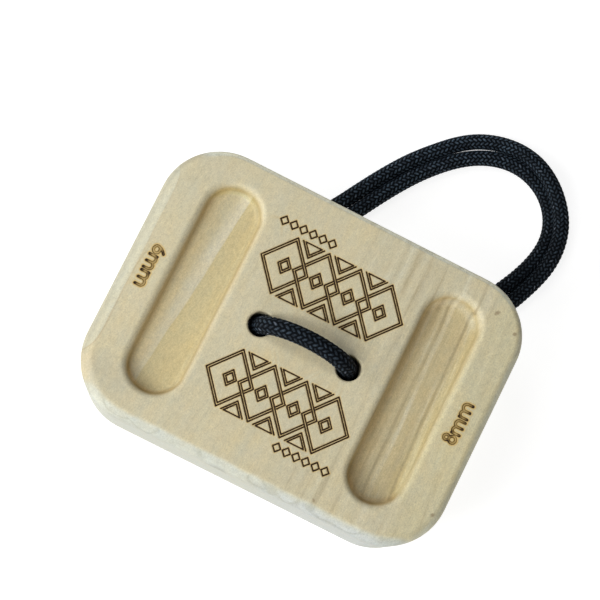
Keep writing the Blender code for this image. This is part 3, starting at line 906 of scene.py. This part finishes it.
# tone of the growth lines across the grain, in millimetres from the middle: under a half is darker, over it lighter
LINES_LEFT = [
    (-82, 0.54), (-77, 0.58), (-75.3, 0.62), (-74.6, 0.30), (-73.4, 0.46), (-69, 0.51), (-66, 0.45), (-61, 0.52), (-56, 0.49),
    (-53.2, 0.52), (-46.5, 0.46), (-42, 0.49), (-36, 0.53), (-31, 0.46), (-26, 0.52),
    (-21, 0.47), (-15, 0.53), (-9, 0.47), (-4, 0.52), (0, 0.49),
]
LINES_RIGHT = [
    (0, 0.49), (6.6, 0.44), (8.8, 0.63), (10.4, 0.48), (14, 0.45), (16.5, 0.57), (19.5, 0.44), (22, 0.58), (25.6, 0.38), (28.5, 0.58),
    (31.5, 0.36), (34.0, 0.52), (37.5, 0.42), (42, 0.54), (44.0, 0.45), (46.4, 0.54), (47.8, 0.39), (49.0, 0.60), (50.2, 0.62),
    (51.4, 0.50), (53, 0.535), (55, 0.47), (57.0, 0.52), (57.9, 0.34), (59.0, 0.56), (62.5, 0.54), (66, 0.45), (68, 0.54),
    (71, 0.46), (75, 0.52), (82, 0.48),
]


def wood_material():
    n = Nodes("pale_wood")
    place = n.scaled(n.place(), (1000, 1000, 1000))  # millimetres
    split = n.add("ShaderNodeSeparateXYZ")
    n.put(split.inputs[0], place)
    x, y, z = split.outputs

    # the grain runs along Y and fans out a little towards the near side; grain is the place across it at the middle
    drift = n.math("MULTIPLY", y, 0.00128)
    grain = n.math("DIVIDE", n.math("SUBTRACT", x, n.math("MULTIPLY", drift, 28.0)), n.math("SUBTRACT", 1.0, drift))
    deep = n.math("SUBTRACT", HALF_T, z)
    grain = n.math("ADD", grain, n.math("MULTIPLY", n.math("MULTIPLY", deep, x), 0.0022))
    grain = n.math("ADD", grain, n.math("MULTIPLY", n.math("POWER", n.math("MAXIMUM", deep, 0.0), 2.0), 0.004))
    join = n.add("ShaderNodeCombineXYZ")
    for socket, value in zip(join.inputs, (grain, y, z)):
        n.put(socket, value)
    flow = join.outputs[0]

    def streaks(wide, long, detail=2.0, rough=0.5, shift=0.0, distortion=0.0, deepest=None):
        """Noise drawn out along the grain: sizes in millimetres across, along and into the wood."""
        scale = (1 / wide, 1 / long, 1 / (deepest or wide * 2.5))
        return n.noise(n.scaled(flow, scale, (shift, shift, shift)), 1.0, detail, rough, distortion)

    def tones(stops, value):
        made = n.add("ShaderNodeValToRGB")
        ramp = made.color_ramp
        ramp.interpolation = "EASE"
        for k, (at, tone) in enumerate(stops):
            spot = (at + 82) / 164
            point = ramp.elements[0] if k == 0 else (ramp.elements[1] if k == 1 else ramp.elements.new(spot))
            point.position = spot
            point.color = (tone, tone, tone, 1)
        n.put(made.inputs[0], value)
        return made.outputs[0]

    sway = n.math("SUBTRACT", streaks(40, 60, 2, 0.5, 5.0), 0.5)
    wobble = n.math("SUBTRACT", streaks(6, 26, 2, 0.55, 7.0), 0.5)
    warped = n.math("ADD", grain, n.math("ADD", n.math("MULTIPLY", sway, 2.2), n.math("MULTIPLY", wobble, 1.3)))
    spot = n.math("DIVIDE", n.math("ADD", warped, 82.0), 164.0)
    line = n.mix(n.ramp(x, -0.6, 0.6), tones(LINES_LEFT, spot), tones(LINES_RIGHT, spot))
    hollow = n.attribute("hollow")
    patchy = n.ramp(streaks(22, 34, 2, 0.5, 13.0), 0.32, 0.62, 0.45, 1.0)
    strong = n.math("ADD", n.math("MULTIPLY", patchy, n.ramp(x, 0, 40, 0.80, 1.25)), n.math("MULTIPLY", hollow, n.ramp(x, 0, 1, 0.80, 1.85)))
    strong = n.math("ADD", strong, n.math("MULTIPLY", n.ramp(y, 28, 44, 0.0, 0.75), n.ramp(x, -30, 15)))
    line = n.math("MULTIPLY", n.math("SUBTRACT", line, 0.5), strong)

    broad = streaks(15, 90, 2, 0.5, 3.0, 0.3)
    medium = n.math("SUBTRACT", streaks(2.6, 55, 3, 0.55, 11.0), 0.5)
    fine = streaks(0.55, 11, 3, 0.62, 23.0, 0.0, 0.8)
    hair = streaks(0.30, 1.6, 2, 0.6, 31.0, 0.0, 0.4)
    fuzz = n.noise(place, 1 / 0.62, 3, 0.75)
    mottle = n.noise(n.scaled(place, (1 / 1.9, 1 / 2.6, 1 / 1.9)), 1.0, 2, 0.6)
    tint = n.noise(n.scaled(place, (1 / 1.5, 1 / 2.2, 1 / 1.5), (40, 7, 3)), 1.0, 3, 0.7)
    cloud = n.noise(place, 1 / 9.0, 2, 0.5)
    side = n.math("MULTIPLY", n.ramp(x, -10, 50), 0.9)

    tone = n.math("ADD", n.math("MULTIPLY", line, 1.5), n.math("MULTIPLY", medium, n.math("ADD", 0.55, side)))
    tone = n.math("ADD", tone, n.math("MULTIPLY", n.math("SUBTRACT", fine, 0.5), 0.55))
    colour = n.mix(n.ramp(broad, 0.34, 0.66), (0.648, 0.588, 0.400), (0.690, 0.614, 0.400))
    colour = n.mix(n.math("MULTIPLY", n.ramp(cloud, 0.40, 0.68), 0.35), colour, (0.680, 0.610, 0.425))
    # the milled hollows lie in warmer wood, warmest towards the right
    # the left one crosses a boundary between pale and amber wood
    from_line = n.math("SUBTRACT", x, n.math("ADD", -50.0, n.math("MULTIPLY", y, 0.107)))
    from_line = n.math("ADD", from_line, n.math("MULTIPLY", wobble, 2.0))
    amber = n.ramp(from_line, -0.4, 0.5, 0.38, 0.95)
    warm = n.math("MULTIPLY", hollow, n.mix(n.ramp(x, 0, 1), amber, n.ramp(grain, 40.0, 60.0, 0.30, 0.62)))
    colour = n.mix(warm, colour, (0.640, 0.540, 0.290))
    colour = n.mix(n.math("MULTIPLY", hollow, n.mix(n.ramp(x, 0, 1), (0.0, 0.0, 0.0), n.math("MAXIMUM", n.ramp(x, 47.5, 41.0, 0.0, 0.10), n.ramp(x, 51.0, 57.5, 0.0, 0.34)))), colour, (0.480, 0.390, 0.250))
    pale = n.math("MULTIPLY", n.ramp(from_line, -7.5, -0.7), n.ramp(from_line, 0.4, -0.3))
    pale = n.math("MULTIPLY", n.math("MULTIPLY", pale, hollow), n.ramp(y, -44, 30, 0.30, 0.75))
    colour = n.mix(n.math("MULTIPLY", pale, n.ramp(x, 0, -1)), colour, (0.760, 0.700, 0.520))
    colour = n.mix(n.ramp(tone, 0.0, -0.75), colour, (0.460, 0.385, 0.235))
    colour = n.mix(n.ramp(tone, 0.0, 0.85), colour, (0.800, 0.750, 0.565))

    # a paler layer shows along the left edge, and the wood turns silvery where the fibres end, partly the end grain's
    # own tone and partly painted cool light
    ends = n.math("POWER", n.math("ABSOLUTE", n.math("DIVIDE", n.math("SUBTRACT", y, 2.0), 43.0)), 12.0)
    pale = n.math("SUBTRACT", n.math("SUBTRACT", -74.9, x), n.math("MULTIPLY", ends, 4.0))
    pale = n.math("ADD", pale, n.math("MULTIPLY", wobble, 1.2))
    colour = n.mix(n.math("MULTIPLY", n.ramp(pale, -0.10, 0.25), 0.60), colour, (0.690, 0.675, 0.520))
    bound = n.math("MULTIPLY", n.ramp(n.math("ABSOLUTE", n.math("ADD", pale, 0.25)), 0.60, 0.0), n.ramp(x, -60.0, -70.0))
    colour = n.mix(n.math("MULTIPLY", bound, n.math("MULTIPLY", n.ramp(y, 30.0, -42.0, 0.08, 0.42), n.ramp(z, 19.0, 25.0, 0.25, 1.0))), colour, (0.500, 0.390, 0.230))
    normal = n.add("ShaderNodeSeparateXYZ")
    n.put(normal.inputs[0], n.add("ShaderNodeTexCoord").outputs["Normal"])
    across = n.math("ABSOLUTE", normal.outputs[1])
    facing = n.math("ADD", across, n.math("MULTIPLY", n.math("SUBTRACT", cloud, 0.5), 0.3))
    rim = n.ramp(n.math("ABSOLUTE", y), 50.0, 53.5)
    low = n.ramp(z, 25.0, 18.0)
    # painted light: the silvery tone on the faces towards ±Y is partly the end grain's own and partly painted cool
    # light
    silver_and_painted_light = n.math("MAXIMUM", n.math("MULTIPLY", n.ramp(facing, 0.06, 0.45), n.math("MULTIPLY", rim, n.ramp(low, 0.0, 1.0, 1.0, 0.45))), n.math("MULTIPLY", n.ramp(facing, 0.05, 1.0), low))
    colour = n.mix(n.math("MULTIPLY", silver_and_painted_light, 0.75), colour, (0.688, 0.722, 0.640))
    # growth layers crop out as wavy contours on the end grain
    layer = n.math("ADD", n.math("MULTIPLY", z, 1.0), n.math("MULTIPLY", n.math("ABSOLUTE", y), 0.45))
    layer = n.math("ADD", layer, n.math("MULTIPLY", n.noise(n.scaled(place, (1 / 26, 1 / 60, 1 / 26)), 1.0, 3, 0.5), 15.0))
    layer = n.math("ADD", layer, n.math("MULTIPLY", n.noise(n.scaled(place, (1 / 9, 1 / 40, 1 / 7)), 1.0, 2, 0.5), 1.1))
    wave = n.math("SINE", n.math("ADD", n.math("MULTIPLY", layer, 1.25), n.math("MULTIPLY", n.math("SINE", n.math("MULTIPLY", layer, 0.31)), 1.8)))
    contour = n.math("MULTIPLY", n.ramp(wave, 0.10, 1.0), n.ramp(facing, 0.25, 0.9))
    contour = n.math("MULTIPLY", contour, n.ramp(streaks(9, 40, 2, 0.5, 57.0, 0.0, 6), 0.35, 0.65, 0.35, 1.0))
    contour = n.math("MULTIPLY", contour, n.math("MAXIMUM", n.math("MULTIPLY", rim, n.ramp(low, 0.0, 1.0, 0.34, 0.20)), n.math("MULTIPLY", low, 0.20)))
    colour = n.mix(contour, colour, (0.440, 0.440, 0.375))
    thin = n.math("MULTIPLY", n.ramp(wave, 0.86, 0.99), n.math("MULTIPLY", n.ramp(facing, 0.12, 0.4), rim))
    colour = n.mix(n.math("MULTIPLY", thin, 0.30), colour, (0.430, 0.420, 0.290))
    # painted shade: the flat flanks are a little duller than their rounded edges, and the left edge and the near rim
    # are darker too
    flank = n.math("MULTIPLY", n.ramp(across, 0.55, 1.0), n.math("MAXIMUM", rim, low))
    left = n.math("MULTIPLY", n.ramp(normal.outputs[0], -0.12, -0.75), n.ramp(x, -62.0, -66.0))
    left = n.math("MULTIPLY", left, n.math("SUBTRACT", 1.0, hollow))
    painted_flank_shade = n.math("MAXIMUM", n.math("MULTIPLY", flank, 0.24), n.math("MULTIPLY", left, 0.30))
    painted_flank_shade = n.math("MAXIMUM", painted_flank_shade, n.math("MULTIPLY", n.math("MULTIPLY", n.ramp(normal.outputs[1], -0.2, -0.6), rim), 0.12))
    colour = n.mix(painted_flank_shade, colour, (0.0, 0.0, 0.0))
    # the near left corner is sanded through to a pinkish layer
    dx, dy = n.math("DIVIDE", n.math("ADD", x, 74.0), 5.0), n.math("DIVIDE", n.math("ADD", y, 46.0), 5.5)
    patch = n.ramp(n.math("ADD", n.math("MULTIPLY", dx, dx), n.math("MULTIPLY", dy, dy)), 1.6, 0.1)
    colour = n.mix(n.math("MULTIPLY", patch, 0.24), colour, (0.690, 0.530, 0.310))
    # a wider patch round the near left corner is darker and less yellow
    dx, dy = n.math("DIVIDE", n.math("ADD", x, 66.0), 13.0), n.math("DIVIDE", n.math("ADD", y, 46.0), 9.0)
    patch = n.ramp(n.math("ADD", n.math("MULTIPLY", dx, dx), n.math("MULTIPLY", dy, dy)), 1.3, 0.1)
    colour = n.mix(n.math("MULTIPLY", n.math("MULTIPLY", patch, n.math("SUBTRACT", 1.0, hollow)), 0.42), colour, (0.520, 0.480, 0.345))
    # painted shade: the floors are browner next to their left walls, where the walls' shadow falls
    painted_shade_by_left_walls = n.math("ADD", n.math("MULTIPLY", n.ramp(x, -53.2, -57.0), n.ramp(x, -30, -31)), n.math("MULTIPLY", n.ramp(x, 45.5, 41.5), n.ramp(x, 30, 31)))
    colour = n.mix(n.math("MULTIPLY", painted_shade_by_left_walls, n.ramp(hollow, 0.0, 0.5)), colour, n.mix(1.0, colour, (1.0, 0.955, 0.88), "MULTIPLY"))
    # the hollows' walls are a little browner, and painted shade darkens the walls that face the light
    painted_shade_lit_walls = n.mix(n.ramp(x, 0, 1), n.ramp(normal.outputs[0], -0.13, -0.45), n.ramp(normal.outputs[0], -0.06, -0.50))
    painted_shade_lit_walls = n.math("MULTIPLY", painted_shade_lit_walls, hollow)
    right_half = n.ramp(x, 0, 1)
    colour = n.mix(n.math("MULTIPLY", painted_shade_lit_walls, n.ramp(x, 0, 1, 0.98, 0.75)), colour, n.mix(1.0, colour, n.mix(right_half, (0.805, 0.795, 0.780), (0.90, 0.88, 0.79)), "MULTIPLY"))
    # painted shade darkens and warms the steeper slopes in the hollows
    painted_shade_steep_walls = n.math("MULTIPLY", n.ramp(normal.outputs[2], 0.97, 0.35), n.ramp(hollow, 0.0, 0.10))
    painted_shade_steep_walls = n.math("MULTIPLY", painted_shade_steep_walls, n.math("ADD", n.ramp(x, 0, 1, 0.76, 0.60), n.math("MULTIPLY", normal.outputs[1], n.ramp(x, 0, 1, 0.08, 0.50))))
    painted_shade_steep_walls = n.math("MULTIPLY", painted_shade_steep_walls, n.math("SUBTRACT", 1.0, n.math("MULTIPLY", n.ramp(normal.outputs[0], 0.1, 0.5), n.ramp(x, 0, 1, 0.40, 0.85))))
    painted_shade_steep_walls = n.math("MULTIPLY", painted_shade_steep_walls, n.math("SUBTRACT", 1.0, n.math("MULTIPLY", painted_shade_lit_walls, 0.75)))
    colour = n.mix(painted_shade_steep_walls, colour, n.mix(1.0, colour, (0.74, 0.66, 0.56), "MULTIPLY"))
    # painted shade warms and darkens the near end walls, which face away from the light
    painted_shade_near_end = n.math("MULTIPLY", n.ramp(normal.outputs[1], 0.15, 0.50), hollow)
    colour = n.mix(painted_shade_near_end, colour, n.mix(1.0, colour, (1.0, 0.92, 0.82), "MULTIPLY"))
    far_end = n.math("MULTIPLY", n.math("MULTIPLY", n.ramp(normal.outputs[1], -0.15, -0.50), hollow), n.ramp(x, -40, -47))
    colour = n.mix(far_end, colour, n.mix(1.0, colour, (0.97, 0.965, 0.82), "MULTIPLY"))
    # painted light brightens the walls facing +X, which lie in shade
    painted_light_shaded_walls = n.math("MULTIPLY", n.ramp(normal.outputs[0], 0.15, 0.50), hollow)
    colour = n.mix(painted_light_shaded_walls, colour, n.mix(1.0, colour, (1.10, 1.08, 1.07), "MULTIPLY"))
    # painted shade over the left half of the right hollow's floor
    painted_shade_right_floor = n.math("MULTIPLY", hollow, n.math("MULTIPLY", n.ramp(x, 36.0, 38.0), n.ramp(x, 55.5, 53.0)))
    colour = n.mix(painted_shade_right_floor, colour, n.mix(1.0, colour, (0.978, 0.955, 0.915), "MULTIPLY"))
    # their right rims, which face the light, are browner too, as painted shade
    straight = n.ramp(n.math("ABSOLUTE", y), 41.0, 35.0)
    painted_shade_left_pocket_rim = n.math("MULTIPLY", n.ramp(n.math("ABSOLUTE", n.math("ADD", x, 36.6)), 1.7, 0.6), n.ramp(z, 15, 20))
    colour = n.mix(n.math("MULTIPLY", painted_shade_left_pocket_rim, straight), colour, n.mix(1.0, colour, (0.965, 0.935, 0.885), "MULTIPLY"))
    painted_shade_right_pocket_rim = n.math("MULTIPLY", n.math("MULTIPLY", n.ramp(x, 54.0, 57.0), n.ramp(x, 65.0, 62.5)), n.ramp(y, 34.0, -20.0, 0.45, 0.95))
    painted_shade_right_pocket_rim = n.math("MULTIPLY", painted_shade_right_pocket_rim, n.ramp(z, 15, 20))
    colour = n.mix(n.math("MULTIPLY", painted_shade_right_pocket_rim, straight), colour, n.mix(1.0, colour, (0.955, 0.945, 0.865), "MULTIPLY"))

    # the right side is a little yellower, its edge and the near flank are greyer with a painted cool tint of the light,
    # and the far roundover gets a painted highlight
    colour = n.mix(n.ramp(x, 56, 70), colour, n.mix(1.0, colour, (1.01, 1.01, 0.95), "MULTIPLY"))
    painted_cool_tint = n.math("MULTIPLY", n.ramp(normal.outputs[0], 0.25, 0.70), n.ramp(x, 70, 74))
    colour = n.mix(painted_cool_tint, colour, n.mix(1.0, colour, (0.98, 1.05, 1.20), "MULTIPLY"))
    painted_cool_tint = n.math("MULTIPLY", n.math("MULTIPLY", n.ramp(normal.outputs[1], -0.30, -0.70), rim), n.ramp(x, 0, 30))
    colour = n.mix(painted_cool_tint, colour, n.mix(1.0, colour, (0.99, 1.01, 1.10), "MULTIPLY"))
    # painted highlight on the far roundover
    painted_highlight_far_round = n.math("MULTIPLY", n.ramp(normal.outputs[1], 0.20, 0.70), n.math("MULTIPLY", n.ramp(z, 23.5, 26.6), n.ramp(y, 51.5, 54.5)))
    colour = n.mix(painted_highlight_far_round, colour, n.mix(1.0, colour, (1.42, 1.37, 1.25), "MULTIPLY"))
    # the face outside the hollows darkens slightly towards the near side
    colour = n.mix(n.math("MULTIPLY", n.ramp(y, -5.0, -35.0, 0.0, 0.04), n.math("SUBTRACT", 1.0, hollow)), colour, (0.0, 0.0, 0.0))
    # a brown layer crops out round the far right corner
    bend = n.math("ADD", z, n.math("MULTIPLY", n.math("SUBTRACT", cloud, 0.5), 1.6))
    crop = n.math("MULTIPLY", n.ramp(n.math("ABSOLUTE", n.math("SUBTRACT", bend, 27.6)), 0.40, 0.05), n.math("MULTIPLY", n.ramp(x, 57, 64), n.ramp(y, 28, 38)))
    colour = n.mix(n.math("MULTIPLY", crop, 0.34), colour, (0.420, 0.330, 0.190))

    # small dark flecks, short dashes aslant to the grain
    for fx, fy, long, turn in ((64.2, 47.2, 1.5, 0.9), (74.2, 42.6, 1.0, 0.7), (76.1, -37.7, 1.0, 0.9), (31.0, -53.6, 0.6, 0.6)):
        c, q = math.cos(turn), math.sin(turn)
        dx, dy = n.math("SUBTRACT", x, fx), n.math("SUBTRACT", y, fy)
        u = n.math("DIVIDE", n.math("ADD", n.math("MULTIPLY", dx, c), n.math("MULTIPLY", dy, q)), long)
        v = n.math("DIVIDE", n.math("SUBTRACT", n.math("MULTIPLY", dy, c), n.math("MULTIPLY", dx, q)), 0.85)
        off = n.math("ADD", n.math("MULTIPLY", u, u), n.math("MULTIPLY", v, v))
        off = n.math("ADD", off, n.math("MULTIPLY", n.math("SUBTRACT", fuzz, 0.5), 1.2))
        colour = n.mix(n.math("MULTIPLY", n.math("MULTIPLY", n.ramp(off, 1.4, 0.1), n.ramp(z, 15, 20)), 0.66), colour, (0.29, 0.21, 0.12))

    # painted light brightens the face in the stitch's cast shadow
    dx, dy = n.math("DIVIDE", n.math("SUBTRACT", x, 2.0), 19.0), n.math("DIVIDE", n.math("SUBTRACT", y, 8.0), 6.0)
    painted_light_in_stitch_shadow = n.ramp(n.math("ADD", n.math("MULTIPLY", dx, dx), n.math("MULTIPLY", dy, dy)), 1.3, 0.1)
    colour = n.mix(n.math("MULTIPLY", painted_light_in_stitch_shadow, n.ramp(z, 27.5, 28.2)), colour, n.mix(1.0, colour, (1.14, 1.14, 1.15), "MULTIPLY"))

    # fibres and pores: fine speckle in brightness, softer blotches in brightness and hue
    speck = n.math("MULTIPLY", n.math("SUBTRACT", fuzz, 0.5), 0.66)
    speck = n.math("ADD", speck, n.math("MULTIPLY", n.math("SUBTRACT", hair, 0.5), 0.34))
    speck = n.math("ADD", speck, n.math("MULTIPLY", n.math("SUBTRACT", mottle, 0.5), 0.26))
    speck = n.math("ADD", 1.0, n.math("MULTIPLY", speck, n.ramp(x, 10, 60, 1.0, 1.12)))
    wide_tint = n.noise(n.scaled(place, (1 / 5.0, 1 / 9.0, 1 / 5.0), (11, 60, 23)), 1.0, 3, 0.6)
    hue = n.math("ADD", n.math("MULTIPLY", n.math("SUBTRACT", tint, 0.5), 0.25), n.math("MULTIPLY", n.math("SUBTRACT", wide_tint, 0.5), 2.2))
    join = n.add("ShaderNodeCombineXYZ")
    n.put(join.inputs[0], n.math("ADD", speck, n.math("MULTIPLY", hue, 0.055)))
    n.put(join.inputs[1], speck)
    n.put(join.inputs[2], n.math("SUBTRACT", speck, n.math("MULTIPLY", hue, 0.09)))
    colour = n.mix(1.0, colour, join.outputs[0], "MULTIPLY")

    # scorched lines
    burn, halo = n.attribute("burn"), n.attribute("halo")
    uneven = n.ramp(streaks(1.2, 2.4, 2, 0.6, 41.0), 0.3, 0.7, 0.75, 1.0)
    colour = n.mix(n.math("MULTIPLY", n.math("MULTIPLY", halo, uneven), 0.80), colour, (0.660, 0.430, 0.105))
    scorch = n.math("MULTIPLY", burn, uneven)
    colour = n.mix(n.ramp(scorch, 0.0, 0.42), colour, (0.225, 0.140, 0.036))
    colour = n.mix(n.ramp(scorch, 0.34, 0.74), colour, (0.022, 0.009, 0.003))
    n.put(n.shader.inputs["Base Color"], colour)
    rough = n.ramp(fine, 0.3, 0.7, 0.50, 0.66)
    n.put(n.shader.inputs["Roughness"], n.math("ADD", rough, n.math("MULTIPLY", burn, 0.2)))
    n.shader.inputs["Specular IOR Level"].default_value = 0.35
    height = n.math("ADD", n.math("MULTIPLY", fine, 0.6), n.math("MULTIPLY", hair, 0.5))
    height = n.math("ADD", height, n.math("MULTIPLY", fuzz, 0.45))
    n.put(n.shader.inputs["Normal"], n.bump(height, 0.6, 0.00008))
    return n.material


def make_block():
    shell = block_shell()
    block = mesh_of("milled_block", shell.points, shell.faces, [wood_material()])
    mesh = block.data
    for name, values in shell.values.items():
        data = np.zeros(len(shell.points), np.float32)
        if values:
            data[np.fromiter(values.keys(), int)] = np.fromiter(values.values(), float)
        mesh.attributes.new(name, "FLOAT", "POINT").data.foreach_set("value", data)
    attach(block, "block")
    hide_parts("wood_block")
    return block


make_camera()
cord, centre, cord_length, cord_look = make_cord()
knot = make_knot(cord_look)
make_block()
make_stage()

bpy.context.scene.view_settings.view_transform = "Standard"

bpy.context.view_layer.update()
